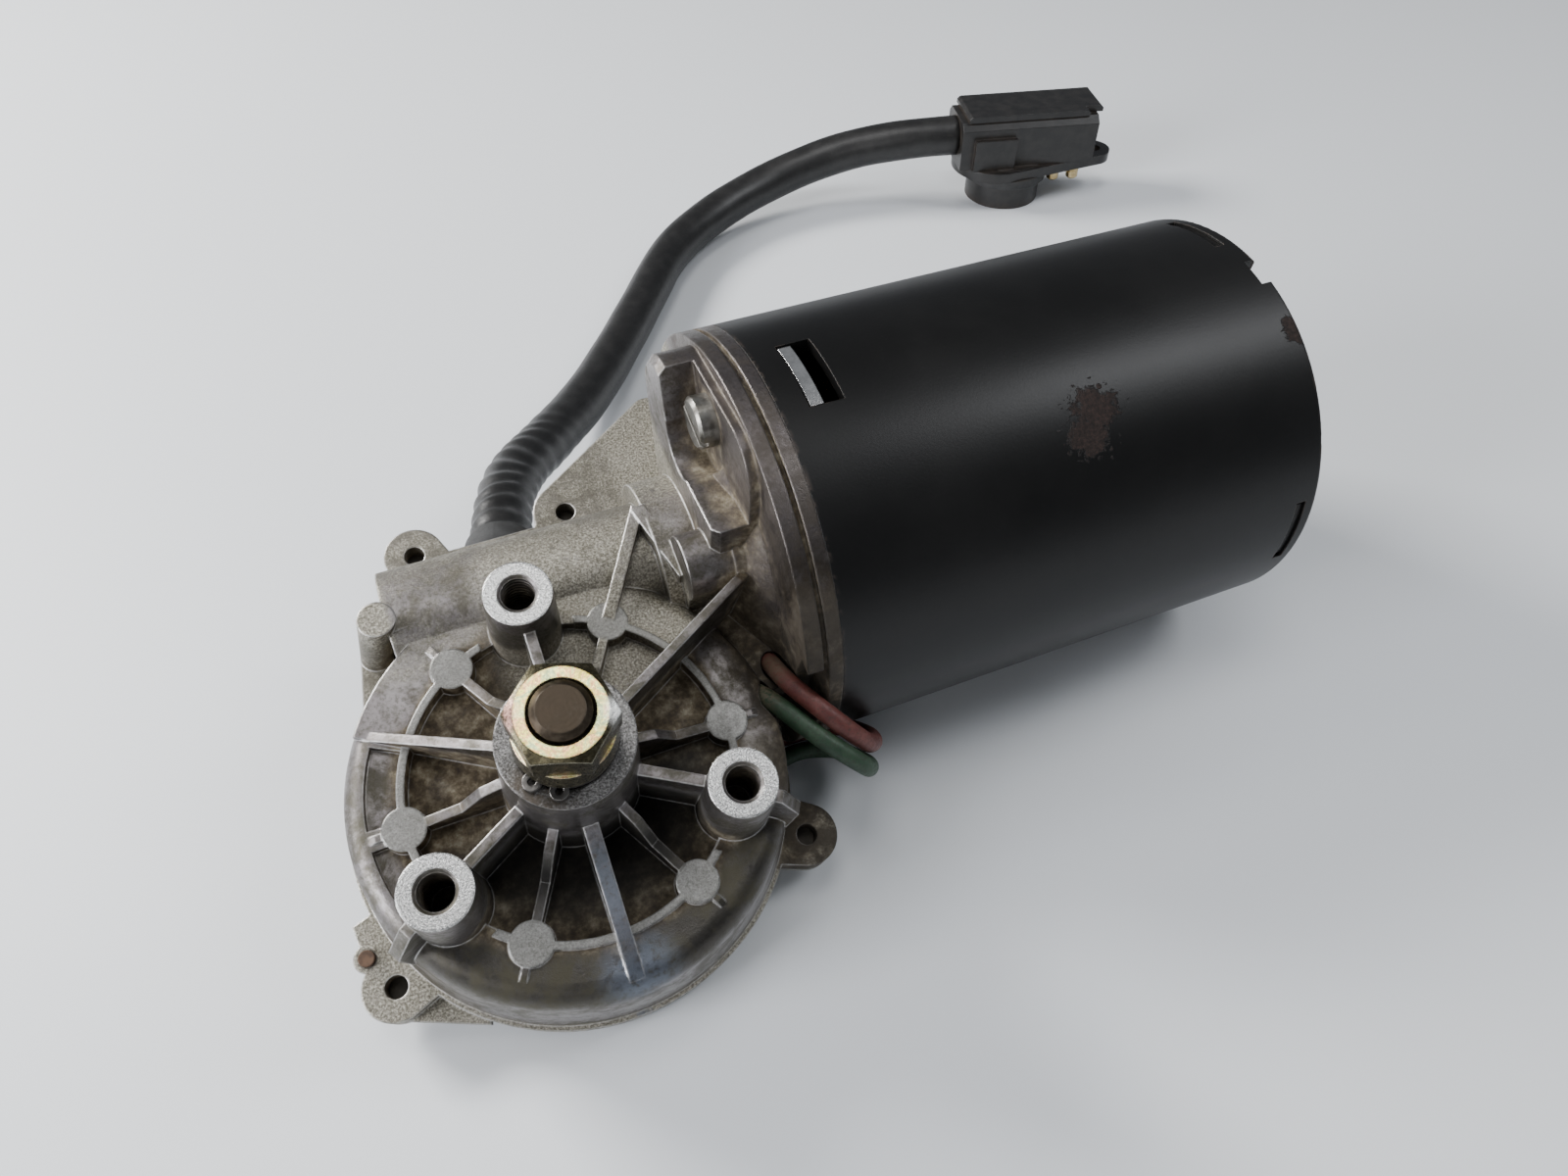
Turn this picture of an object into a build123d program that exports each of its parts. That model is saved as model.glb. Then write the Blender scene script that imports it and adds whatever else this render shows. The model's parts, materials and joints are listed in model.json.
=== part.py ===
from build123d import *
import math
import os

# Windshield wiper drive: a permanent-magnet motor on a worm gearbox.
#
# Design frame: origin on the output shaft at the plane of the three boss faces, +X along the motor
# from gearbox to can, +Z out along the output shaft.  Row frame: the same part rolled about X so
# that it lies on its can and on the edge of the gearbox cover, +Z up, floor at Z = 0.

# ---- driving dimensions (mm, degrees) ----
REST_ROLL = 20.8            # roll about X of the part as it lies
AXIS_Y = 33.45              # centre distance of worm and wheel
AXIS_Z = -24.0              # height of the motor axis in the design frame

BOSS_PCD = 50.0
BOSS_ANGLES = (90, 210, 330)
PAD_ANGLES = (0, 60, 120, 180, 240, 300)
LONG_RIB_ANGLES = (30, 150, 270)
BOSS_R = 5.1
BOSS_HOLE_R = 2.5           # M6 tapping size
BOSS_HOLE_DEPTH = 13.0

HUB_R = 9.6
HUB_TOP = 6.3
DECK = -16.5                # inner floor of the gearbox face
SHELF = -14.2               # flat outside the arc ribs
SHELF_R = 30.0
SHOULDER_R = 3.6            # full round from the shelf into the wall
POCKET_FLOOR = -15.6        # shallow pockets in the shelf
PAD_TOP = -13.4
PAD_R = 3.25
POCKET_R = 29.8
POCKET_TOP = -18.5
SPLIT = -35.5               # open face of the housing
EAR_TOP = -31.5
BASE_R = 36.0
EARS = ((-14.0, 50.8), (13.7, 51.4), (34.3, -18.8), (-34.0, -18.7))
EAR_R = 5.2
EAR_HOLE_R = 1.75
LUG_ANGLE = 196.0           # small lug on the edge, with a screw beside it
LUG_REACH = 39.4
LUG_SCREW_AT = (-37.0, -13.2)
LUG_HOLE_R = 1.25

TUBE_R = 11.2
TUBE_LEFT = -20.0
TUBE_STEP = 23.5
BELL_R = 14.5
WORM_BORE_R = 7.3

FLANGE_LEFT = 38.0
CAN_LEFT = 44.0
CAN_RIGHT = 136.0
CAN_R = 37.3
CAN_WALL = 2.0
FLANGE_SCREW_R = 29.3       # radius of the two long-screw positions from the motor axis
FLANGE_SCREW_ANGLES = (18.7, 198.7)     # from +Z towards +Y
LOBE_R = 8.2                # rounded swelling of the flange round each screw
LOBE_SPREAD = 18.0
LOBE_LEFT = 30.5
SCREW_SEAT = 36.4           # plane under the long screws' heads
CAN_SLOT_ANGLES = (21.0, 111.0, 201.0, 281.0)
BRUSH_ANGLES = (-70, 110)

GASKET = 0.5
COVER_SHEET = 1.4
COVER_DISH_R = 24.0
COVER_DISH_DEPTH = 1.8

MODULE = 1.1
WHEEL_TEETH = 51
WHEEL_PITCH_R = MODULE * WHEEL_TEETH / 2
WORM_PITCH_R = AXIS_Y - WHEEL_PITCH_R
WORM_LEAD = math.pi * MODULE
WHEEL_LOW = -28.0
WHEEL_HIGH = -20.0
SHAFT_R = 5.0
THREAD_R = 3.95             # M8 output thread
SHAFT_TOP = 20.4
CIRCLIP_LOW = 6.5
NUT_LOW = 8.4
NUT_COLLAR_TOP = 12.4
NUT_COLLAR_R = 7.2
NUT_TOP = 19.1
NUT_FLATS = 13.0
NUT_TURN = -17                # where the nut's corners stopped when it was tightened
JOURNAL_R = 6.45            # front journal, wider than the worm so that the shaft can be drawn out

CABLE_R = 5.75
LEAD_R = 1.6
# centre line of the cable in the row frame, before the origin shift
CABLE_ROUTE = [
    (1.0, 64.0, 26.6), (3.5, 80.0, 23.4), (10.0, 96.0, 18.0), (20.5, 111.0, 12.5), (32.0, 126.0, 8.5),
    (45.0, 145.0, 6.2), (61.0, 168.0, 6.0), (75.6, 189.5, 6.0), (95.6, 203.2, 7.4), (117.3, 209.1, 10.8),
    (138.3, 207.6, 15.9), (156.98, 199.87, 20.0), (172.46, 196.01, 20.0),
]
# centre lines of the two motor leads in the design frame
GREEN_ROUTE = [
    (31.0, 6.0, -20.0), (33.4, 1.0, -15.2), (38.6, -7.4, -15.2), (44.9, -13.8, -18.4), (48.4, -12.0, -29.0),
    (50.6, -9.6, -38.0), (48.6, -4.6, -44.6), (42.4, -2.0, -46.6), (34.0, -3.8, -42.5),
]
RED_ROUTE = [
    (36.2, 9.2, -19.8), (36.3, 2.8, -13.4), (41.0, -5.0, -13.4), (46.2, -10.2, -17.8), (50.4, -8.6, -27.5),
    (53.0, -5.4, -37.0), (51.2, -0.6, -44.6), (42.4, 1.6, -47.8), (34.0, -0.1, -42.5),
]

SIN_ROLL = math.sin(math.radians(REST_ROLL))
COS_ROLL = math.cos(math.radians(REST_ROLL))
REST_HEIGHT = CAN_R - AXIS_Y * SIN_ROLL - AXIS_Z * COS_ROLL
ORIGIN_X = 48.4             # centre of the resting object's box, so that the row's origin is below it
ORIGIN_Y = 26.53


# ---- helpers ----
def lay_down(shape):
    """Design frame to row frame."""
    return Pos(-ORIGIN_X, -ORIGIN_Y, REST_HEIGHT) * Rot(REST_ROLL, 0, 0) * shape


def post(radius, low, high, x=0.0, y=0.0):
    return Pos(x, y, (low + high) / 2) * Cylinder(radius, high - low)


def taper(radius_low, radius_high, low, high, x=0.0, y=0.0):
    return Pos(x, y, (low + high) / 2) * Cone(radius_low, radius_high, high - low)


def rod(radius, left, right, y=AXIS_Y, z=AXIS_Z):
    """A cylinder along X."""
    return Pos((left + right) / 2, y, z) * Rot(0, 90, 0) * Cylinder(radius, right - left)


def ring(outer, inner, low, high, x=0.0, y=0.0):
    return post(outer, low, high, x, y) - post(inner, low - 1, high + 1, x, y)


def tube(outer, inner, left, right, y=AXIS_Y, z=AXIS_Z):
    return rod(outer, left, right, y, z) - rod(inner, left - 1, right + 1, y, z)


def block(x0, x1, y0, y1, z0, z1):
    return Pos((x0 + x1) / 2, (y0 + y1) / 2, (z0 + z1) / 2) * Box(x1 - x0, y1 - y0, z1 - z0)


def polar(radius, angle):
    return radius * math.cos(math.radians(angle)), radius * math.sin(math.radians(angle))


def polygon(points):
    return make_face(Polyline(points, close=True))


def spoke(angle, outline, width):
    """A radial web: outline is (radius, height) points, extruded to width about the radial plane."""
    web = extrude(Plane.XZ * polygon(outline), width / 2, both=True)
    return Rot(0, 0, angle) * web


def axial_wedge(inner, outer, start, sweep, left, right):
    """A sector of a ring about the motor axis; angles run from +Z towards +Y."""
    mid = start + sweep / 2
    reach = outer * 2
    half = math.radians(sweep / 2)
    sector = polygon([(0, 0), (reach * math.cos(half), reach * math.sin(half)),
                      (reach * 1.2, 0), (reach * math.cos(half), -reach * math.sin(half))])
    sector = extrude(sector, (right - left) / 2, both=True)
    sector = Rot(0, 0, mid) * sector
    sector &= Cylinder(outer, right - left + 2)
    sector -= Cylinder(inner, right - left + 2)
    # local x becomes +Z, local y becomes +Y, local z becomes -X
    return Pos((left + right) / 2, AXIS_Y, AXIS_Z) * Rot(0, -90, 0) * sector


def on_axis(radius, angle):
    """A point at this radius from the motor axis; the angle runs from +Z towards +Y."""
    turn = math.radians(angle)
    return AXIS_Y + radius * math.sin(turn), AXIS_Z + radius * math.cos(turn)


def bore_along(start, end, radius, behind):
    """A cylinder along the line from start to end, begun a little behind the start."""
    along = (Vector(*end) - Vector(*start)).normalized()
    length = (Vector(*end) - Vector(*start)).length + behind
    base = Plane(origin=Vector(*start) - along * behind, z_dir=along)
    return base * Pos(0, 0, length / 2) * Cylinder(radius, length)


def corner_radii(points):
    """Arcs as large as each corner's two runs allow."""
    radii = []
    for before, corner, after in zip(points, points[1:], points[2:]):
        first = Vector(*corner) - Vector(*before)
        second = Vector(*after) - Vector(*corner)
        turn = math.radians(first.get_angle(second))
        radii.append(0.45 * min(first.length, second.length) / math.tan(turn / 2))
    return radii


def sweep_round(points, radius, name):
    radii = corner_radii(points)
    path = FilletPolyline(*points, radius=radii)
    start = Plane(origin=path @ 0, z_dir=path % 0)
    body = sweep(start * Circle(radius), path=path)
    expected = math.pi * radius ** 2 * path.length
    print(name, "length", round(path.length, 1), "radii", [round(r, 1) for r in radii],
          "volume / section x length", round(body.volume / expected, 4))
    return body


# ---- gearbox housing ----
def drum():
    """Flat shelf, full round shoulder and a slightly drafted wall."""
    foot = (SHELF_R + SHOULDER_R, SHELF - SHOULDER_R)
    half = SHOULDER_R / math.sqrt(2)
    shoulder = ThreePointArc((SHELF_R, SHELF), (SHELF_R + half, foot[1] + half), foot)
    rest = Polyline(foot, (35.2, EAR_TOP), (BASE_R, EAR_TOP), (BASE_R, SPLIT), (0, SPLIT), (0, SHELF),
                    (SHELF_R, SHELF))
    profile = make_face([shoulder, rest])
    return revolve(Plane.XZ * profile, Axis.Z)


def sector(outer, inner, start, end, low, high):
    """Part of a ring about the output axis."""
    reach = outer * 2
    corners = [(0, 0), polar(reach, start), polar(reach * 1.2, (start + end) / 2), polar(reach, end)]
    return ring(outer, inner, low, high) & extrude(Pos(0, 0, low) * polygon(corners), high - low)


def base_outline():
    """Flat outline of the housing's open face, shared by the gasket and the cover."""
    outline = Circle(BASE_R)
    for x, y in EARS:
        direction = math.degrees(math.atan2(y, x))
        inner = polar(math.hypot(x, y) - 14, direction)
        root = Pos(*inner) * Circle(EAR_R + 1.6)
        tab = make_hull((Pos(x, y) * Circle(EAR_R)).edges() + root.edges())
        outline += tab
    bridge = polygon([(-18, 20), (-18, 45), (-9, 50), (9, 50), (22.5, 50), (22.5, 6)])
    lug = Rot(0, 0, LUG_ANGLE) * polygon([(34, -3.2), (38.8, -3.0), (LUG_REACH, 0), (38.8, 3.0), (34, 3.2)])
    seat = make_hull((Pos(*LUG_SCREW_AT) * Circle(2.2)).edges() + (Pos(-31, -10.5) * Circle(3.4)).edges())
    return outline + bridge + lug + seat


def corner_web():
    """Thin straight edge between the left lower ear and the drum."""
    x, y = EARS[3]
    return polygon([(x, y - EAR_R), (-22.5, -28.8), (-20, -20), (-30, -12)])


def cover_outline():
    return base_outline() + corner_web()


def motor_side_plate():
    x, y = EARS[1]
    corner = Pos(34.6, 68.6) * Circle(2.0)
    foot = Pos(37.5, 40) * Circle(1.0)
    edge = Pos(37.0, 69.6) * Circle(1.0)
    heel = Pos(8.0, 40) * Circle(1.0)
    circles = (Pos(x, y) * Circle(EAR_R + 0.6)).edges()
    circles += corner.edges() + foot.edges() + edge.edges() + heel.edges()
    return extrude(Pos(0, 0, EAR_TOP - 3.0) * make_hull(circles), 3.0)


def ribs():
    webs = None
    hub_edge = HUB_R - 0.6
    for angle in LONG_RIB_ANGLES:
        width = 2.3 if angle == 270 else 1.5
        if angle == 30:
            outline = [(hub_edge, DECK), (hub_edge, -4.4), (38.5, -5.6), (41.0, -7.0), (41.0, DECK)]
        else:
            outline = [(hub_edge, DECK), (hub_edge, -4.6), (31.6, SHELF - 0.3), (31.6, DECK)]
        webs = spoke(angle, outline, width) if webs is None else webs + spoke(angle, outline, width)
    for angle in BOSS_ANGLES:
        webs += spoke(angle, [(hub_edge, DECK), (hub_edge, -3.6), (21.5, -3.2), (21.5, DECK)], 1.7)
        if angle != 90:
            webs += spoke(angle, [(28.0, DECK), (28.0, -3.4), (31.4, -4.2), (34.6, -9.5), (34.2, -20.0),
                                  (32.0, -20.0), (30.0, DECK)], 2.0)
    for angle in PAD_ANGLES:
        webs += spoke(angle, [(hub_edge, DECK), (hub_edge, -5.2), (13.2, -7.2), (16.6, -12.2),
                              (22.2, PAD_TOP), (24.0, PAD_TOP - 0.1), (24.0, DECK)], 1.5)
        webs += spoke(angle, [(24.5, DECK), (24.5, PAD_TOP - 0.1), (29.2, PAD_TOP - 0.2), (30.4, SHELF - 0.1),
                              (30.4, DECK)], 1.2)
    return webs


def arc_ribs():
    """Low walls on the pad circle, from pad to pad past each long rib, with stubs towards the bosses."""
    walls = ring(25.5, 24.3, DECK, PAD_TOP)
    for angle in BOSS_ANGLES:
        gap = spoke(angle, [(15, DECK - 1), (15, 0), (32, 0), (32, DECK - 1)], 15.0)
        walls -= gap
    return walls


def worm_tube():
    body = rod(TUBE_R, TUBE_LEFT, TUBE_STEP + 1)
    body += rod(BELL_R, TUBE_STEP, FLANGE_LEFT + 1)
    # fairing between the tube's closed end and the drum
    fairing = polygon([(-25.6, 33), (-27.6, 22), (-20, 18), (-12, 30), (-15, 40), (-19, 40)])
    return body + extrude(Pos(0, 0, EAR_TOP) * fairing, 9.0)


def end_post():
    """Slanted post beside the tube's closed end, with a web to the tube."""
    pad = Pos(-21.1, 32.5, -12.0) * Circle(2.9)
    foot = Pos(-25.2, 29.4, EAR_TOP) * Circle(2.4)
    web = make_hull((Pos(-21.1, 32.5) * Circle(2.6)).edges() + (Pos(-14.0, 33.0) * Circle(2.2)).edges())
    return loft([foot, pad]) + extrude(Pos(0, 0, EAR_TOP) * web, -13.2 - EAR_TOP)


def motor_lobe(angle):
    """Rounded swelling of the flange on one side of a long screw."""
    circles = (Pos(AXIS_Y, AXIS_Z) * Circle(BELL_R - 1.0)).edges()
    for side in (-LOBE_SPREAD, LOBE_SPREAD):
        circles += (Pos(*on_axis(FLANGE_SCREW_R - 0.9, angle + side)) * Circle(LOBE_R)).edges()
    lobe = extrude(Plane.YZ.offset(LOBE_LEFT) * make_hull(circles), FLANGE_LEFT + 1 - LOBE_LEFT)
    lobe = chamfer(lobe.edges().group_by(Axis.X)[0], 1.2)
    lobe &= rod(CAN_R - 0.6, LOBE_LEFT, FLANGE_LEFT + 1)
    return lobe - around_motor(block(20, SCREW_SEAT, -22, 0, 21, 42), angle)


def saddle():
    """Cone that carries the front bearing housing into the flange, on the output side only."""
    left, right = 30.5, FLANGE_LEFT + 0.5
    cone = Pos((left + right) / 2, AXIS_Y, AXIS_Z) * Rot(0, 90, 0) * Cone(BELL_R - 0.5, 27.0, right - left)
    return cone & axial_wedge(8.0, 40.0, -85, 150, left - 1, right + 1)


def screw_pocket(angle):
    """Room for a long screw's head, open away from the motor axis."""
    left = 20.0
    y, z = on_axis(FLANGE_SCREW_R, angle)
    y_in, z_in = on_axis(FLANGE_SCREW_R - 4, angle)
    room = rod(6.4, left, SCREW_SEAT, y, z) + rod(5.6, left, SCREW_SEAT, y_in, z_in)
    mouth = polygon([(-6.4, FLANGE_SCREW_R), (6.4, FLANGE_SCREW_R), (8.6, CAN_R + 2), (-8.6, CAN_R + 2)])
    return room + around_motor(extrude(Plane.YZ.offset(left) * mouth, SCREW_SEAT - left), angle)


def motor_flange():
    disc = rod(CAN_R, FLANGE_LEFT, CAN_LEFT)
    body = disc - tube(CAN_R + 1, CAN_R - 0.9, 40.7, 41.6) + saddle()
    for angle in FLANGE_SCREW_ANGLES:
        body += motor_lobe(angle)
    for angle in FLANGE_SCREW_ANGLES:
        body -= screw_pocket(angle)
    return body


def side_post():
    """Cast boss parallel to the motor, joined to the flange and carried by two splayed legs."""
    body = rod(5.4, 26.0, FLANGE_LEFT + 1, 25.2, -9.4) + rod(6.2, 33.6, FLANGE_LEFT + 1, 25.6, -9.8)
    body += block(26.0, FLANGE_LEFT + 1, 20.6, 30.0, -22, -9.4)
    return body


def leg(start, end, width, low):
    """A web on the face, from point to point (x, y, top), down to the level low."""
    x0, y0, top0 = start
    x1, y1, top1 = end
    length = math.hypot(x1 - x0, y1 - y0)
    heading = math.degrees(math.atan2(y1 - y0, x1 - x0))
    outline = [(0, low), (0, top0), (length, top1), (length, low)]
    return Pos(x0, y0, 0) * Rot(0, 0, heading) * extrude(Plane.XZ * polygon(outline), width / 2, both=True)


def gear_housing():
    body = drum()
    body += sector(33.0, 20.0, 116, 151, EAR_TOP, SHELF)
    for start, end in ((153, 177), (183, 207)):
        body -= sector(30.2, 25.4, start, end, POCKET_FLOOR, SHELF + 1)
    body -= ring(24.4, HUB_R - 1, DECK, SHELF + 1)
    body += extrude(Pos(0, 0, SPLIT) * base_outline(), EAR_TOP - SPLIT)
    body += extrude(Pos(0, 0, SPLIT) * corner_web(), 2.0)
    body += block(20, FLANGE_LEFT + 1, 1.5, 33, SPLIT, -17.5)
    body += motor_side_plate()
    body += worm_tube()
    body += end_post()
    body += motor_flange()
    body -= extrude(Pos(0, 0, SPLIT - 4.0) * cover_outline(), 4.0) - bearing_clearance()
    body += side_post()
    body += taper(HUB_R + 1.0, HUB_R, DECK - 1, HUB_TOP)
    body += ribs()
    body += arc_ribs()
    for angle in BOSS_ANGLES:
        body += taper(BOSS_R + 0.7, BOSS_R, DECK - 1, 0, *polar(BOSS_PCD / 2, angle))
    for angle in PAD_ANGLES:
        body += post(PAD_R, DECK - 1, PAD_TOP, *polar(BOSS_PCD / 2, angle))
    body += leg((12.6, 21.8, PAD_TOP), (22.8, 38.0, -9.6), 2.0, -22)
    body += leg((22.8, 38.0, -9.6), (26.6, 24.5, -10.2), 2.4, -22)

    # the inside: wheel pocket, bush bore, worm bore, front bush seat, brush recess
    body -= post(POCKET_R, SPLIT - 1, POCKET_TOP)
    body -= post(6.5, -20, 3.2)
    body -= post(7.0, 3.2, HUB_TOP + 1)
    body -= rod(WORM_BORE_R, -15.2, 24.0)
    body -= rod(5.2, TUBE_LEFT - 1, -15)
    body -= rod(9.5, 24.0, 42.0)
    body -= rod(33.0, 42.0, CAN_LEFT + 1)
    for angle in BOSS_ANGLES:
        x, y = polar(BOSS_PCD / 2, angle)
        body -= post(BOSS_HOLE_R, -BOSS_HOLE_DEPTH, 1, x, y)
        body -= taper(BOSS_HOLE_R, BOSS_HOLE_R + 0.55, -0.55, 0, x, y)
    for x, y in EARS:
        body -= post(EAR_HOLE_R, SPLIT - 1, EAR_TOP + 30, x, y)
    body -= post(LUG_HOLE_R, SPLIT - 1, EAR_TOP + 1, *LUG_SCREW_AT)
    for angle in FLANGE_SCREW_ANGLES:
        y, z = on_axis(FLANGE_SCREW_R, angle)
        body -= rod(2.55, 30, CAN_LEFT + 1, y, z)
    # holes for the two motor leads and the notch where they pass the flange
    body -= block(34.5, 41.5, -8, 3.4, -22, -6)
    for route in (GREEN_ROUTE, RED_ROUTE):
        body -= bore_along(route[0], route[1], LEAD_R + 0.45, 4.0)
        body -= bore_along(route[1], route[2], LEAD_R + 0.3, 1.0)
    return body


# ---- gearbox cover and fasteners ----
def bearing_clearance():
    """Room round the front bearing housing, which stands lower than the cover's face."""
    return rod(BELL_R + 0.5, TUBE_STEP - 0.5, CAN_LEFT)


def rear_cover():
    top = SPLIT - GASKET
    low = top - COVER_SHEET
    body = extrude(Pos(0, 0, low) * cover_outline(), COVER_SHEET) - bearing_clearance()
    body -= post(LUG_HOLE_R + 0.2, low - 1, top + 1, *LUG_SCREW_AT)
    body += taper(COVER_DISH_R, COVER_DISH_R + 2, low - COVER_DISH_DEPTH, low)
    body -= taper(COVER_DISH_R - 1.2, COVER_DISH_R + 0.8, top - COVER_DISH_DEPTH, top)
    for x, y in EARS:
        body -= post(2.1, low - 1, top + 1, x, y)
    return body


def cover_gasket():
    sheet = extrude(Pos(0, 0, SPLIT - GASKET) * cover_outline(), GASKET) - bearing_clearance()
    sheet -= post(LUG_HOLE_R + 0.2, SPLIT - 1, SPLIT + 1, *LUG_SCREW_AT)
    sheet -= post(POCKET_R + 0.4, SPLIT - 1, SPLIT + 1)
    for x, y in EARS:
        sheet -= post(2.1, SPLIT - 1, SPLIT + 1, x, y)
    return sheet


def pan_screw(head_r, head_h, shank_r, length):
    """Screw along +Z with its head below the origin and a cross recess in it."""
    screw = post(head_r, -head_h, 0)
    screw = chamfer(screw.edges().group_by(Axis.Z)[0], 0.5)
    screw += post(shank_r, -0.1, length)
    slot = block(-head_r * 0.62, head_r * 0.62, -0.45, 0.45, -head_h - 1, -head_h + 1.1)
    return screw - slot - Rot(0, 0, 90) * slot


def cover_screws():
    face = SPLIT - GASKET - COVER_SHEET
    return [Pos(x, y, face) * Rot(0, 0, 25) * pan_screw(3.4, 2.3, EAR_HOLE_R - 0.02, 2.6) for x, y in EARS]


def lug_screw():
    """Long thin screw whose tip stands out of the housing's edge."""
    return Pos(*LUG_SCREW_AT, SPLIT - GASKET - COVER_SHEET) * pan_screw(2.2, 1.6, LUG_HOLE_R - 0.02, 7.1)


def flange_screws():
    screws = []
    for angle in FLANGE_SCREW_ANGLES:
        y, z = on_axis(FLANGE_SCREW_R, angle)
        head = rod(4.3, 33.2, SCREW_SEAT, y, z)
        head = chamfer(head.edges().group_by(Axis.X)[0], 0.5)
        screw = head + rod(2.5, SCREW_SEAT - 0.1, 52.0, y, z)
        screws.append(screw - block(32, 34.5, y - 6, y + 6, z - 0.6, z + 0.6))
    return screws


# ---- output side ----
def output_shaft():
    """Shaft with a circlip groove, a knurled cone for the crank and a threaded end."""
    shaft = post(SHAFT_R, -33.0, 7.9) - ring(SHAFT_R + 1, 4.6, CIRCLIP_LOW - 0.05, CIRCLIP_LOW + 1.05)
    shaft += taper(SHAFT_R, 4.1, 7.9, NUT_COLLAR_TOP - 0.2)
    shaft += post(THREAD_R, NUT_COLLAR_TOP - 0.3, SHAFT_TOP)
    shaft = chamfer(shaft.edges().filter_by(GeomType.CIRCLE).group_by(Axis.Z)[-1], 0.8)
    groove = Pos(4.75, 0, 9.8) * Cylinder(0.3, 4.4)
    return shaft - [Rot(0, 0, 12 * step) * groove for step in range(30)]


def output_nut():
    """Hexagon nut with a round collar that clears the shaft's cone."""
    corner_r = NUT_FLATS / math.cos(math.radians(30)) / 2
    hexagon = Pos(0, 0, NUT_COLLAR_TOP) * Rot(0, 0, NUT_TURN) * RegularPolygon(corner_r, 6)
    nut = extrude(hexagon, NUT_TOP - NUT_COLLAR_TOP)
    crown = taper(NUT_FLATS / 2 + 5.3, NUT_FLATS / 2 - 0.55, NUT_TOP - 3.2, NUT_TOP)
    nut &= crown + post(12, NUT_LOW, NUT_TOP - 3.1)
    nut += taper(NUT_COLLAR_R, NUT_COLLAR_R - 0.3, NUT_LOW, NUT_COLLAR_TOP)
    nut -= post(THREAD_R, NUT_LOW - 1, NUT_TOP + 1)
    nut -= post(SHAFT_R + 0.1, NUT_LOW - 1, NUT_COLLAR_TOP)
    nut -= taper(THREAD_R, THREAD_R + 0.5, NUT_TOP - 0.5, NUT_TOP)
    return nut


def retaining_ring():
    """External circlip; its two eyes stand out beside the gap."""
    top = CIRCLIP_LOW + 1.0
    clip = ring(6.9, 4.65, CIRCLIP_LOW, top)
    clip -= block(-1.1, 1.1, -9, -2, CIRCLIP_LOW - 1, top + 1)
    for x in (-1.9, 1.9):
        clip += post(1.3, CIRCLIP_LOW, top, x, -7.1) - post(0.55, CIRCLIP_LOW - 1, top + 1, x, -7.1)
    return Rot(0, 0, -38) * clip


def worm_wheel():
    """Nylon wheel; each tooth is slanted to lie along the worm's thread."""
    addendum, dedendum = 0.95, 1.25
    tip_half, pitch_half, root_half = 0.26, 0.66, 1.02

    root_r = WHEEL_PITCH_R - dedendum
    tip_r = WHEEL_PITCH_R + addendum
    flank = ((root_r, -root_half), (WHEEL_PITCH_R, -pitch_half), (tip_r, -tip_half),
             (tip_r, tip_half), (WHEEL_PITCH_R, pitch_half), (root_r, root_half))

    def section(height, twist):
        points = []
        for tooth in range(WHEEL_TEETH):
            middle = 360 / WHEEL_TEETH * tooth + 90 + twist
            for radius, offset in flank:
                points.append((*polar(radius, middle + math.degrees(offset / radius)), height))
        return make_face(Polyline(points, close=True))

    lead_slope = MODULE / (2 * WORM_PITCH_R)
    twist = math.degrees(lead_slope / WHEEL_PITCH_R)
    low = section(WHEEL_LOW, twist * (WHEEL_LOW - AXIS_Z))
    high = section(WHEEL_HIGH, twist * (WHEEL_HIGH - AXIS_Z))
    wheel = loft([low, high], ruled=True)
    wheel -= ring(24.0, 10.5, AXIS_Z + 2, WHEEL_HIGH + 1)
    wheel -= ring(24.0, 10.5, WHEEL_LOW - 1, AXIS_Z - 2)
    wheel -= post(7.5, WHEEL_LOW - 1, WHEEL_HIGH + 1)
    return wheel


def wheel_hub():
    return ring(7.5, SHAFT_R, WHEEL_LOW, -19.5)


def park_disc():
    """Brass contact ring with a gap that marks the parked position."""
    disc = ring(23.0, 13.0, WHEEL_LOW - 1.0, WHEEL_LOW)
    disc -= Rot(0, 0, 200) * block(16.5, 24, -5, 5, WHEEL_LOW - 2, WHEEL_LOW + 1)
    return disc


def contact_carrier():
    low = SPLIT - GASKET
    return ring(22.0, 8.0, low, low + 1.6)


def contact_springs():
    low = SPLIT - GASKET + 1.6
    tip = WHEEL_LOW - 1.15
    springs = []
    for radius, heading in ((14.5, 60), (17.6, 75), (20.8, 90)):
        outline = [(-6, low), (-6, low + 0.5), (-4.2, low + 0.5), (3.2, tip), (4.2, tip - 0.25),
                   (4.4, tip - 0.7), (3.2, tip - 0.6), (-4.0, low)]
        strip = extrude(Plane.XZ * polygon(outline), 0.9, both=True)
        springs.append(Rot(0, 0, heading) * Pos(0, -radius, 0) * strip)
    return springs


def contact_box():
    """Moulded terminal box under the cover; the cable leaves it towards +Y."""
    face = SPLIT - GASKET - COVER_SHEET
    box = block(-10, 9.8, 29, 48.6, face - 8.4, face)
    box = fillet(box.edges().filter_by(Axis.Z) + box.faces().sort_by(Axis.Z)[0].edges(), 1.4)
    lip = block(-7.5, 7.3, 31.5, 46, face - 9.2, face - 8.3)
    return box + lip


def lead_grommet():
    """Rubber block under the cover that both motor leads run into."""
    face = SPLIT - GASKET - COVER_SHEET
    body = block(27.0, 34.6, -6.8, 3.2, face - 7.4, face)
    return fillet(body.edges().filter_by(Axis.Z), 1.5)


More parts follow.
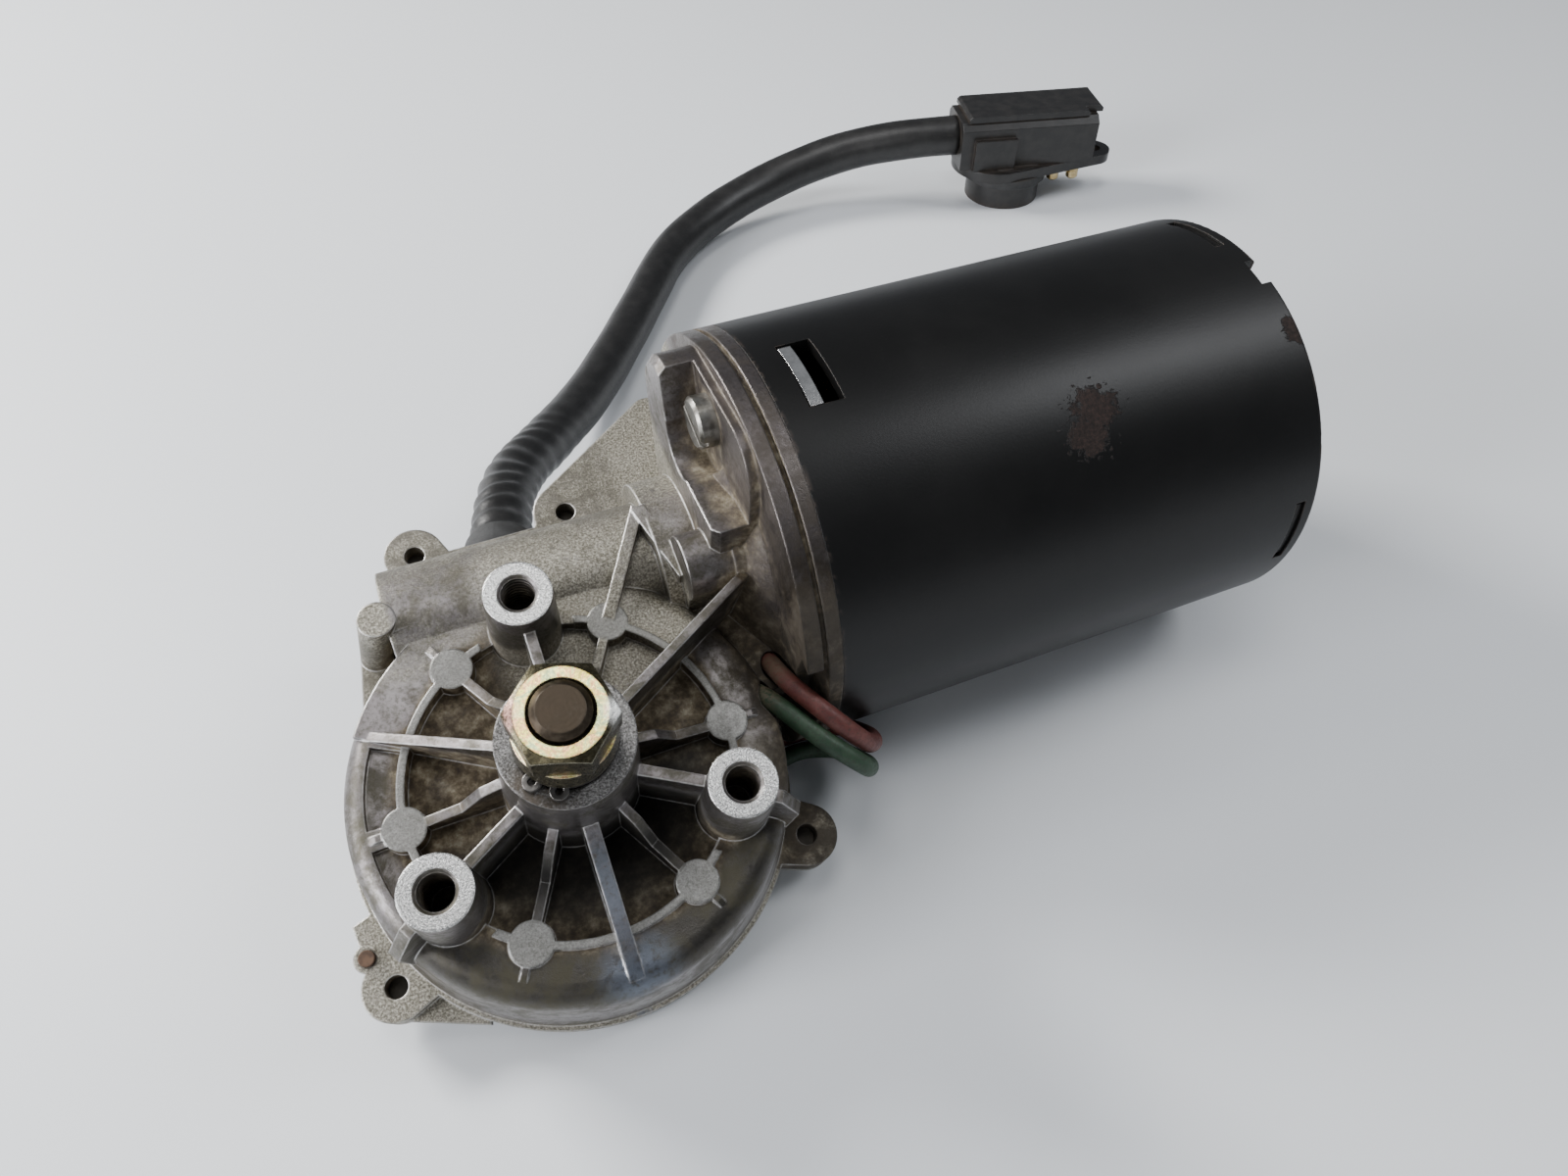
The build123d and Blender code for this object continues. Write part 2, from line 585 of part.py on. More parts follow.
# ---- motor ----
def motor_can():
    can = tube(CAN_R, CAN_R - CAN_WALL, CAN_LEFT, CAN_RIGHT)
    rim = can.edges().filter_by(GeomType.CIRCLE).sort_by(Axis.X)[-2:].sort_by(SortBy.LENGTH)[-1]
    can = fillet(rim, 0.8)
    can -= axial_wedge(CAN_R - 5, CAN_R + 5, 2.8, 21.8, 48.8, 54.6)
    for start in CAN_SLOT_ANGLES:
        can -= axial_wedge(CAN_R - 5, CAN_R + 5, start, 21.0, 131.6, 133.6)
    can -= axial_wedge(CAN_R - 5, CAN_R + 5, 4.0, 8.2, 133.6, CAN_RIGHT + 1)
    return can


def end_plate():
    inner = CAN_R - CAN_WALL
    plate = tube(inner - 0.02, 6.0, 131.6, 133.6)
    for start in CAN_SLOT_ANGLES:
        plate += axial_wedge(inner - 2, CAN_R - 0.5, start + 1.0, 19.0, 131.65, 133.55)
    plate += tube(11.0, 6.0, 126.5, 131.7)
    return plate


def bush_retainer():
    return tube(9.6, 4.0, 125.5, 126.5)


def rear_bush():
    return tube(6.0, 3.04, 126.5, 133.0)


def front_bush():
    return tube(9.5, JOURNAL_R + 0.05, 25.0, 41.0)


def armature_shaft():
    """Steel shaft with the worm rolled on its front end."""
    root_r = WORM_PITCH_R - 1.25
    tip_r = WORM_PITCH_R + 0.9
    worm_left, worm_right = -10.0, 11.5
    core = rod(root_r, worm_left - 0.5, 25.0) + rod(3.0, -12.6, worm_left)
    core += rod(JOURNAL_R, 24.6, 41.5) + rod(4.0, 41.4, 122.0) + rod(3.0, 121.9, 132.0)
    turns = Helix(pitch=WORM_LEAD, height=worm_right - worm_left, radius=root_r)
    half_root, half_tip = 1.12, 0.34
    tooth = polygon([(root_r - 0.3, -half_root), (root_r - 0.3, half_root),
                     (tip_r, half_tip), (tip_r, -half_tip)])
    thread = sweep(Plane.XZ * tooth, path=turns, is_frenet=True)
    thread = Pos(worm_left, AXIS_Y, AXIS_Z) * Rot(0, 90, 0) * thread
    phase = worm_phase(worm_left)
    thread = Pos(0, AXIS_Y, AXIS_Z) * Rot(phase, 0, 0) * Pos(0, -AXIS_Y, -AXIS_Z) * thread
    return core + thread


def worm_phase(start):
    """Turn of the thread that puts a gap of the worm over the wheel's tooth at the mid plane."""
    # the helix starts towards -Z at x = start and is right-handed; the wheel has a tooth at x = 0
    distance = WORM_LEAD / 2 - start
    turns = distance / WORM_LEAD
    return 270 - 360 * (turns % 1)


def rotor_core():
    core = tube(27.0, 4.0, 72.0, 108.0)
    for step in range(12):
        y, z = on_axis(26.0, 30 * step)
        core -= Pos(90, y, z) * Rot(90 - 30 * step, 0, 0) * Box(40, 4.4, 1.8)
    return core


def rotor_windings():
    coils = []
    for left, right in ((62.0, 72.0), (108.0, 118.0)):
        coils.append(fillet(tube(23.5, 4.0, left, right).edges().filter_by(GeomType.CIRCLE), 1.5))
    return coils


def commutator():
    body = tube(11.0, 4.0, 50.0, 61.0)
    for step in range(12):
        y, z = on_axis(11.0, 30 * step + 15)
        body -= Pos(55.5, y, z) * Rot(90 - 30 * step - 15, 0, 0) * Box(12, 1.6, 0.5)
    return body


def magnets():
    return [axial_wedge(28.0, CAN_R - CAN_WALL, start, 130, 66.0, 114.0) for start in (25, 205)]


def magnet_clips():
    """Flat steel bands that hold the magnets; one end shows through the can's window."""
    inner = CAN_R - CAN_WALL
    clips = [axial_wedge(inner - 0.8, inner - 0.05, start, 30, 49.5, 51.8) for start in (0, 180)]
    clips[0] += axial_wedge(inner - 0.8, CAN_R - 0.3, 3.2, 21.0, 49.1, 51.3)
    for start in (4, 184):
        clips.append(axial_wedge(29.5, inner - 0.05, start, 12, 66.5, 113.5)
                     - axial_wedge(30.5, inner - 1.0, start - 1, 14, 60, 120))
    return clips


def brush_plate():
    plate = tube(32.5, 12.5, 45.0, 47.0)
    for angle in FLANGE_SCREW_ANGLES:
        y, z = on_axis(FLANGE_SCREW_R, angle)
        plate -= rod(2.8, 44, 48, y, z)
    return plate


def around_motor(shape, angle):
    """A shape made on the +Z side of the motor axis, turned about that axis towards +Y."""
    return Pos(0, AXIS_Y, AXIS_Z) * Rot(-angle, 0, 0) * shape


def brush_holders():
    holder = block(48.2, 57.0, -4.2, 4.2, 14.0, 27.0) - block(49.0, 56.2, -3.4, 3.4, 13, 28)
    holder += block(47.0, 48.3, -4.2, 4.2, 16.0, 26.0)
    return [around_motor(holder, angle) for angle in BRUSH_ANGLES]


def brushes():
    brush = block(49.1, 56.1, -3.3, 3.3, 9.0, 20.0) - rod(11.06, 40, 60, 0, 0)
    return [around_motor(brush, angle) for angle in BRUSH_ANGLES]


def brush_springs():
    coil = Helix(pitch=1.4, height=6.3, radius=2.3)
    wire = sweep(Plane(origin=coil @ 0, z_dir=coil % 0) * Circle(0.3), path=coil, is_frenet=True)
    spring = Pos(52.6, 0, 20.35) * wire
    return [around_motor(spring, angle) for angle in BRUSH_ANGLES]


def adjusting_screw():
    screw = rod(5.18, TUBE_LEFT + 0.4, -15.0)
    return screw - block(TUBE_LEFT - 1, TUBE_LEFT + 2.2, AXIS_Y - 6, AXIS_Y + 6, AXIS_Z - 0.7, AXIS_Z + 0.7)


def thrust_ball():
    return Pos(-13.8, AXIS_Y, AXIS_Z) * Sphere(1.18)


# ---- cable and connector (row frame, before the origin shift) ----
CONNECTOR_AT = (172.5, 196.0)
CONNECTOR_HEADING = -14.0


def on_connector(shape):
    x, y = CONNECTOR_AT
    return Pos(x, y, 0) * Rot(0, 0, CONNECTOR_HEADING) * shape


def connector_body():
    """Housing with the cable end at x = 0; the round socket collar stands on the floor."""
    body = block(0, 43, -8.5, 8.5, 12.6, 26.5)
    body = chamfer(body.edges().filter_by(Axis.X).group_by(Axis.Z)[-1], 2.0)
    body += block(4, 17, -10.2, 10.2, 12.6, 22.0)
    body += post(11.6, 0, 12.7, 17.5, 0)
    body -= post(9.6, -1, 10.0, 17.5, 0)
    return body


def connector_flange():
    nose = Pos(46.0, 0) * Circle(5.6)
    outline = make_hull((Pos(13.5, 0) * Circle(13.2)).edges() + nose.edges())
    plate = extrude(Pos(0, 0, 9.7) * outline, 2.9)
    plate -= post(11.6, 9, 13, 17.5, 0)
    plate -= post(2.2, 9, 13, 46.5, 0)
    return plate


def connector_cover():
    lid = block(2.0, 45.0, -7.2, 8.6, 26.5, 28.4)
    lid -= block(40.0, 46.0, -8, -4.5, 26, 29)
    return chamfer(lid.edges().filter_by(Axis.Y).group_by(Axis.Z)[-1], 0.8)


def connector_seal():
    return ring(13.2, 11.6, 7.2, 9.7, 17.5, 0)


def connector_pins():
    pins = []
    for x, y in ((13.5, -4), (13.5, 4), (21.5, -4), (21.5, 4)):
        pins.append(chamfer(post(1.2, 2.0, 10.0, x, y).edges().group_by(Axis.Z)[0], 0.4))
    for x in (33.5, 40.0):
        pins.append(chamfer(post(1.9, 4.4, 9.7, x, -2.0).edges().group_by(Axis.Z)[0], 0.5))
    return pins


def cable_grommet():
    """Rubber collar on the box's side, in line with the cable's first run."""
    start = Vector(*CABLE_ROUTE[0])
    along = (Vector(*CABLE_ROUTE[1]) - start).normalized()
    length = 12.0
    base = Plane(origin=start - along * length, z_dir=along)
    return base * Pos(0, 0, length / 2) * Cone(8.4, 6.9, length)


def main():
    os.makedirs("parts", exist_ok=True)
    design_nodes = {
        "gear_housing": gear_housing, "rear_cover": rear_cover, "cover_gasket": cover_gasket,
        "cover_screws": cover_screws, "lug_screw": lug_screw, "flange_screws": flange_screws,
        "output_shaft": output_shaft, "output_nut": output_nut, "retaining_ring": retaining_ring,
        "worm_wheel": worm_wheel, "wheel_hub": wheel_hub, "park_disc": park_disc,
        "contact_carrier": contact_carrier, "contact_springs": contact_springs, "contact_box": contact_box,
        "lead_grommet": lead_grommet, "motor_can": motor_can, "end_plate": end_plate,
        "bush_retainer": bush_retainer, "rear_bush": rear_bush, "front_bush": front_bush,
        "armature_shaft": armature_shaft, "rotor_core": rotor_core, "rotor_windings": rotor_windings,
        "commutator": commutator, "magnets": magnets, "magnet_clips": magnet_clips,
        "brush_plate": brush_plate, "brush_holders": brush_holders, "brushes": brushes,
        "brush_springs": brush_springs, "adjusting_screw": adjusting_screw, "thrust_ball": thrust_ball,
    }
    nodes = {}
    for name, make in design_nodes.items():
        print("making", name, flush=True)
        nodes[name] = lay_down(gather(make()))
    nodes["output_bush"] = lay_down(ring(6.5, SHAFT_R + 0.03, POCKET_TOP, 3.2))
    nodes["shaft_seal"] = lay_down(ring(6.98, SHAFT_R + 0.05, 3.3, 5.9))
    nodes["thrust_washer"] = lay_down(ring(9.0, SHAFT_R + 0.05, -19.5, -18.6))
    nodes["green_wire"] = lay_down(sweep_round(GREEN_ROUTE, LEAD_R, "green_wire"))
    nodes["red_wire"] = lay_down(sweep_round(RED_ROUTE, LEAD_R, "red_wire"))

    shift = Pos(-ORIGIN_X, -ORIGIN_Y, 0)
    nodes["cable_sheath"] = shift * sweep_round(CABLE_ROUTE, CABLE_R, "cable_sheath")
    collar = shift * cable_grommet()
    for neighbour in ("contact_box", "rear_cover", "cover_gasket", "gear_housing"):
        collar -= nodes[neighbour]
    nodes["cable_grommet"] = max(collar.solids(), key=lambda solid: solid.volume)
    nodes["lead_grommet"] = nodes["lead_grommet"] - nodes["green_wire"] - nodes["red_wire"]
    for make in (connector_body, connector_flange, connector_cover, connector_seal, connector_pins):
        nodes[make.__name__] = shift * on_connector(gather(make()))

    for name, shape in nodes.items():
        export_step(shape, os.path.join("parts", name + ".step"))

    fixed = [name for name in nodes if not name.startswith(("cable", "connector"))]
    own = [solid for name in fixed for solid in nodes[name].solids()]
    box = Compound(own).bounding_box()
    print("box without the cable", box.min, box.max)


def gather(shape):
    """A list of separate solids becomes one compound."""
    if isinstance(shape, list):
        solids = [solid for item in shape for solid in item.solids()]
        return Compound(solids)
    return shape


main()
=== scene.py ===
import functools
import math

import bpy
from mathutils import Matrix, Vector
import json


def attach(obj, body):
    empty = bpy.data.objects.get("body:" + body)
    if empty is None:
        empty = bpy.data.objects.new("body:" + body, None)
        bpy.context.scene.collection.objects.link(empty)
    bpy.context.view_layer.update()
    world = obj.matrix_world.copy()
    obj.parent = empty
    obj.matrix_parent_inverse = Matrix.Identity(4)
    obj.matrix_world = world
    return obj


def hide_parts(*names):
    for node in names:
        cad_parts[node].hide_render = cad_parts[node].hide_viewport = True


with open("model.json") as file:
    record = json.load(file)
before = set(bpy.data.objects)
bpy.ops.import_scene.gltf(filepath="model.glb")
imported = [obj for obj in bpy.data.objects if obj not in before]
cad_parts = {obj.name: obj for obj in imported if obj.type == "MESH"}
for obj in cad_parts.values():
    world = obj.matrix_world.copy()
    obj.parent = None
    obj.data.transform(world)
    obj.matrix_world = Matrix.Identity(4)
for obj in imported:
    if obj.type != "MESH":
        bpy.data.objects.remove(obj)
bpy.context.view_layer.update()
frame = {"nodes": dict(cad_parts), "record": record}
nodes = frame["nodes"]

# ---- design frame, mm: origin on the output shaft at the boss faces, +X along the motor, +Z outwards ----
ROLL = math.radians(20.8)
SHAFT_POINT = (-48.4, -26.53, 47.8575)      # the design frame's origin in the row frame
AXIS_Y, AXIS_Z = 33.45, -24.0               # the motor's axis
CAN_R, CAN_LEFT, CAN_RIGHT = 37.3, 44.0, 136.0
FLANGE_LEFT = 38.0                          # outer face of the casting's disc that the can is fixed to
BOSS_FACE, PAD_TOP, HUB_TOP, NUT_TOP = 0.0, -13.4, 6.3, 17.6
EAR_TOP = -31.5                             # of the ears and of the plate that joins them
SHELF_R = 30.0                              # outer edge of the flat shelf round the gearbox's face
BOSS_CIRCLE_R, BOSS_ANGLES, BOSS_HOLE_R = 25.0, (90, 210, 330), 2.5
THREAD_SCALE = 0.314                        # gives a wave texture a pitch of 1 mm
BOSSES = [(BOSS_CIRCLE_R * math.cos(math.radians(a)), BOSS_CIRCLE_R * math.sin(math.radians(a)))
          for a in BOSS_ANGLES]
RIB_SLOPE = 0.577                           # of the long rib that runs from the hub to the motor
BLUE_STAIN = (0.8, -31.0, -14.5)
HUB_RUST = (-5.6, -6.0, HUB_TOP)
NUT_CORNERS = (6.9, -2.1, NUT_TOP), (-6.9, 2.1, NUT_TOP)
GREEN_EXIT, RED_EXIT = (32.2, 3.2, -16.0), (36.3, 6.0, -16.0)


def into_design(x, y, z):
    """Row frame to design frame."""
    dx, dy, dz = x - SHAFT_POINT[0], y - SHAFT_POINT[1], z - SHAFT_POINT[2]
    return (dx, dy * math.cos(ROLL) + dz * math.sin(ROLL), -dy * math.sin(ROLL) + dz * math.cos(ROLL))


def on_can(x, angle):
    """A point on the can; the angle runs from +Z towards +Y."""
    turn = math.radians(angle)
    return (x, AXIS_Y + CAN_R * math.sin(turn), AXIS_Z + CAN_R * math.cos(turn))


RUST_UPPER, RUST_LOWER, RUST_RIM = on_can(93.6, -16.0), on_can(90.8, -22.6), on_can(135.0, -11.0)


# ---- shader trees ----
class Graph:
    """A material and short calls that add nodes to it. Places are in mm in the design frame."""

    def __init__(self, name):
        self.material = bpy.data.materials.new(name)
        self.material.use_nodes = True
        self.tree = self.material.node_tree
        self.tree.nodes.clear()
        self.shader = self.node("BsdfPrincipled")
        self.tree.links.new(self.shader.outputs[0], self.node("OutputMaterial").inputs[0])
        mapping = self.node("Mapping")
        mapping.inputs["Location"].default_value = into_design(0.0, 0.0, 0.0)
        mapping.inputs["Rotation"].default_value = (-ROLL, 0.0, 0.0)
        mapping.inputs["Scale"].default_value = (1000.0, 1000.0, 1000.0)
        self.put(mapping.inputs["Vector"], self.node("TexCoord").outputs["Object"])
        self.place = mapping.outputs[0]

    def node(self, kind, **settings):
        node = self.tree.nodes.new("ShaderNode" + kind)
        for name, value in settings.items():
            setattr(node, name, value)
        return node

    def put(self, socket, value):
        """Links an output to the socket, or sets the socket's own value."""
        if isinstance(value, bpy.types.NodeSocket):
            self.tree.links.new(value, socket)
        elif socket.type == "RGBA":
            socket.default_value = (*value[:3], 1.0)
        else:
            socket.default_value = value

    def set(self, **values):
        """Sets the shader's sockets; an underscore stands for a space."""
        for name, value in values.items():
            self.put(self.shader.inputs[name.replace("_", " ")], value)

    def math(self, operation, a, b=0.0):
        node = self.node("Math", operation=operation)
        self.put(node.inputs[0], a)
        self.put(node.inputs[1], b)
        return node.outputs[0]

    def add(self, a, b):
        return self.math("ADD", a, b)

    def times(self, a, b):
        return self.math("MULTIPLY", a, b)

    def either(self, a, b):
        return self.math("MAXIMUM", a, b)

    def any_of(self, masks):
        return functools.reduce(self.either, masks)

    def invert(self, a):
        return self.math("SUBTRACT", 1.0, a)

    def ease(self, value, low, high, to_low=0.0, to_high=1.0):
        """Smooth step of value between low and high."""
        node = self.node("MapRange", interpolation_type="SMOOTHSTEP")
        for socket, item in zip(node.inputs, (value, low, high, to_low, to_high)):
            self.put(socket, item)
        return node.outputs[0]

    def band(self, value, middle, half, soft):
        """1 where value is within half of middle, with a soft edge."""
        away = self.math("ABSOLUTE", self.math("SUBTRACT", value, middle))
        return self.ease(away, half, half + soft, 1.0, 0.0)

    def mix(self, factor, a, b):
        """Colour a where factor is 0, colour b where it is 1."""
        node = self.node("Mix", data_type="RGBA")
        self.put(node.inputs[0], factor)
        self.put(node.inputs[6], a)
        self.put(node.inputs[7], b)
        return node.outputs[2]

    def blend(self, factor, a, b):
        """Number a where factor is 0, number b where it is 1."""
        node = self.node("Mix", data_type="FLOAT")
        self.put(node.inputs[0], factor)
        self.put(node.inputs[2], a)
        self.put(node.inputs[3], b)
        return node.outputs[0]

    def vector_math(self, operation, a, b):
        node = self.node("VectorMath", operation=operation)
        self.put(node.inputs[0], a)
        self.put(node.inputs[1], b)
        return node

    def stretched(self, factors):
        """The place with its axes scaled, or the plain place when there are no factors."""
        return self.vector_math("MULTIPLY", self.place, factors).outputs[0] if factors else self.place

    def away(self, point):
        """Distance from a point."""
        return self.vector_math("DISTANCE", self.place, point).outputs["Value"]

    def axes(self):
        node = self.node("SeparateXYZ")
        self.put(node.inputs[0], self.place)
        return node.outputs[0], node.outputs[1], node.outputs[2]

    def from_axis(self, centre=(0.0, 0.0)):
        """Distance from a line along Z through (x, y)."""
        x, y, _ = self.axes()
        x, y = self.math("SUBTRACT", x, centre[0]), self.math("SUBTRACT", y, centre[1])
        return self.math("SQRT", self.add(self.times(x, x), self.times(y, y)))

    def noise(self, scale, detail=4.0, rough=0.55, distortion=0.0, stretch=None):
        node = self.node("TexNoise")
        self.put(node.inputs["Vector"], self.stretched(stretch))
        self.put(node.inputs["Scale"], scale)
        self.put(node.inputs["Detail"], detail)
        self.put(node.inputs["Roughness"], rough)
        self.put(node.inputs["Distortion"], distortion)
        return node.outputs[0]

    def cells(self, scale, stretch=None):
        node = self.node("TexVoronoi")
        self.put(node.inputs["Vector"], self.stretched(stretch))
        self.put(node.inputs["Scale"], scale)
        return node.outputs[0]

    def ramp(self, factor, *stops):
        """Colours by factor; each stop is (position, colour)."""
        node = self.node("ValToRGB")
        self.put(node.inputs[0], factor)
        elements = node.color_ramp.elements
        while len(elements) < len(stops):
            elements.new(0.5)
        for element, (position, colour) in zip(elements, stops):
            element.position = position
            element.color = (*colour, 1.0)
        return node.outputs[0]

    def hidden(self, reach):
        """How enclosed a point is, 0 in the open to 1 in a deep corner."""
        node = self.node("AmbientOcclusion", samples=8)
        node.inputs["Distance"].default_value = reach / 1000.0
        return self.invert(node.outputs["AO"])

    def rounded(self, radius):
        """A normal with edges eased to this radius, and a mask that is 1 along those edges."""
        node = self.node("Bevel", samples=6)
        node.inputs["Radius"].default_value = radius / 1000.0
        true_normal = self.node("NewGeometry").outputs["Normal"]
        dot = self.vector_math("DOT_PRODUCT", node.outputs[0], true_normal).outputs["Value"]
        return node.outputs[0], self.ease(self.invert(dot), 0.02, 0.25)

    def upward(self):
        """How far the surface faces along the output shaft, 1 on top, 0 on an upright side."""
        flat_normal = self.node("NewGeometry").outputs["True Normal"]
        shaft_direction = (0.0, -math.sin(ROLL), math.cos(ROLL))
        return self.vector_math("DOT_PRODUCT", flat_normal, shaft_direction).outputs["Value"]

    def bump(self, height, strength, depth, normal=None):
        node = self.node("Bump")
        node.inputs["Strength"].default_value = strength
        node.inputs["Distance"].default_value = depth / 1000.0
        self.put(node.inputs["Height"], height)
        if normal is not None:
            self.put(node.inputs["Normal"], normal)
        return node.outputs[0]


# ---- the casting: masks and layers, then the material that stacks them ----
def corroded_areas(g, mottle):
    """Masks of all the pale, granular areas, of the worm tube and of the deck beside it."""
    x, y, z = g.axes()
    on_plate = g.ease(z, EAR_TOP + 1.3, EAR_TOP + 0.3)
    on_post = g.times(g.ease(x, -18.5, -20.0), g.ease(y, 27.0, 29.0))
    on_tube = g.times(g.ease(y, 21.0, 23.0), g.ease(x, 26.0, 22.0))
    on_tube = g.times(on_tube, g.ease(g.add(z, g.times(mottle, 6.0)), -9.0, -14.0))
    above_rib = g.math("SUBTRACT", y, g.times(x, RIB_SLOPE))
    by_tube = g.times(g.times(g.ease(above_rib, 1.0, 3.5), g.ease(x, -9.0, -2.0)), g.ease(z, -8.0, -12.5))
    patches = g.times(by_tube, g.ease(mottle, 0.28, 0.44))
    return g.either(g.either(on_plate, on_post), g.either(on_tube, patches)), on_tube, by_tube


def dirt_and_shade_masks(g, edge, by_tube):
    """Masks of settled soiling with painted shade in the recesses, of oil at the motor's lower corner and
    of a painted shadow beside the hub.
    """
    x, y, z = g.axes()
    out = g.from_axis()
    spread = g.noise(0.22, 5.0, 0.65, 0.6)
    # the drum's recesses are darkened partly as painted shade; the flange and lower-corner masks are
    # soiling
    in_drum = g.times(g.ease(out, SHELF_R, SHELF_R - 5.0), g.ease(z, -8.0, -12.0))
    by_flange = g.times(g.ease(x, FLANGE_LEFT - 11.0, FLANGE_LEFT - 4.0), g.ease(y, 58.0, 26.0, 0.35, 1.0))
    lower = g.times(g.ease(x, 24.0, 32.0), g.ease(y, 22.0, 8.0))
    dirty = g.either(g.times(in_drum, 0.9), g.either(g.times(by_flange, 0.7), g.times(lower, 1.15)))
    # the ambient-occlusion term paints shade into corners and recesses, and the noise adds patchy soiling
    dirt_and_shade = g.add(g.add(g.times(g.hidden(9.0), 0.75), g.times(dirty, 0.5)), g.times(spread, 0.5))
    dirt_and_shade = g.times(g.ease(dirt_and_shade, 0.62, 1.02), g.invert(g.times(edge, 0.5)))
    dirt_and_shade = g.times(dirt_and_shade, g.invert(g.times(by_tube, 0.85)))
    oil = g.times(lower, g.ease(spread, 0.36, 0.56, 0.35, 0.9))
    # painted shadow: near black on the hub's front side, where the hub's shadow falls into the recesses
    near_hub = g.times(g.ease(out, 28.5, 16.0), g.ease(g.add(y, g.times(x, -0.15)), 1.0, -7.0))
    painted_hub_shadow = g.times(g.times(near_hub, g.ease(z, -5.0, -11.0)), g.invert(g.times(edge, 0.8)))
    return dirt_and_shade, oil, painted_hub_shadow


def bare_metal(g, film, by_motor):
    """Mottled grey with dark specks, darkened on the front shoulder as painted shade, darker under the film
    and by the motor.
    """
    _, y, z = g.axes()
    metal = g.ramp(g.noise(0.06, 3.0), (0.35, (0.165, 0.155, 0.138)), (0.5, (0.215, 0.198, 0.20)),
                   (0.66, (0.26, 0.245, 0.24)))
    specks = g.ease(g.noise(1.5, 6.0, 0.75), 0.44, 0.68, 0.0, 0.8)
    metal = g.mix(specks, metal, (0.085, 0.078, 0.066))
    # painted shade: the front shoulder, turned away from the lamps, is darkened
    front = g.times(g.ease(y, -2.0, -22.0), g.times(g.ease(z, -12.5, -14.0), g.ease(z, -19.0, -15.0)))
    metal = g.mix(g.times(front, 0.85), metal, (0.045, 0.042, 0.036))
    metal = g.mix(film, metal, (0.072, 0.066, 0.046))
    return g.mix(g.times(by_motor, 0.65), metal, (0.075, 0.062, 0.058))


def corrosion(g, on_tube):
    """Beige grains, with darker patches on the worm tube."""
    grains = g.ramp(g.noise(2.6, 5.0, 0.8), (0.36, (0.09, 0.08, 0.06)), (0.48, (0.23, 0.215, 0.175)),
                    (0.56, (0.42, 0.40, 0.335)), (0.66, (0.64, 0.62, 0.54)))
    patchy = g.ease(g.noise(0.35, 5.0, 0.7), 0.36, 0.6, 0.15, 0.8)
    return g.mix(g.times(on_tube, patchy), grains, (0.12, 0.11, 0.09))


def blue_stain(g, mottle, upward):
    """Mask of the stain along the front rib and on the shoulder below it."""
    x, y, _ = g.axes()
    mark = g.ease(g.away(BLUE_STAIN), 8.0, 2.0)
    on_rib = g.times(g.times(g.band(x, 0.0, 1.1, 0.3), g.ease(y, -9.0, -14.0)), g.ease(upward, 0.75, 0.9))
    return g.times(g.either(mark, g.times(on_rib, 0.8)), g.ease(mottle, 0.26, 0.55))


def with_flat_tops(g, colour, mottle, upward):
    """The colour with the boss faces, pads and hub top laid over it, and the mask of the boss faces."""
    _, _, z = g.axes()
    flat_top = g.ease(upward, 0.96, 0.99)
    boss = g.times(flat_top, g.band(z, BOSS_FACE, 0.12, 0.05))
    on_circle = g.band(g.from_axis(), BOSS_CIRCLE_R, 3.6, 0.1)
    pad = g.times(flat_top, g.times(g.band(z, PAD_TOP, 0.06, 0.05), on_circle))
    hub = g.times(flat_top, g.band(z, HUB_TOP, 0.1, 0.05))
    sparkle = g.ramp(g.noise(3.4, 4.0, 0.85), (0.38, (0.17, 0.17, 0.16)), (0.52, (0.52, 0.52, 0.51)),
                     (0.64, (0.80, 0.80, 0.79)))
    colour = g.mix(boss, colour, sparkle)
    colour = g.mix(g.times(pad, 0.85), colour, g.mix(0.72, sparkle, (0.13, 0.128, 0.115)))
    grit = g.ramp(g.noise(3.0, 5.0, 0.85), (0.4, (0.045, 0.042, 0.038)), (0.52, (0.20, 0.195, 0.19)),
                  (0.66, (0.55, 0.54, 0.53)))
    brown = g.times(g.ease(g.away(HUB_RUST), 6.5, 2.5), g.ease(mottle, 0.34, 0.56))
    grit = g.mix(g.times(brown, 0.75), grit, (0.085, 0.065, 0.045))
    return g.mix(hub, colour, g.mix(0.2, grit, (0.06, 0.058, 0.054))), boss


def tapped_threads(g):
    """Height of the threads in the three bosses, 0 elsewhere."""
    bores = g.any_of([g.ease(g.from_axis(boss), BOSS_HOLE_R + 0.12, BOSS_HOLE_R + 0.04) for boss in BOSSES])
    thread = g.node("TexWave", wave_type="BANDS", bands_direction="Z", wave_profile="SIN")
    g.put(thread.inputs["Vector"], g.place)
    thread.inputs["Scale"].default_value = THREAD_SCALE
    return g.times(thread.outputs[0], bores)


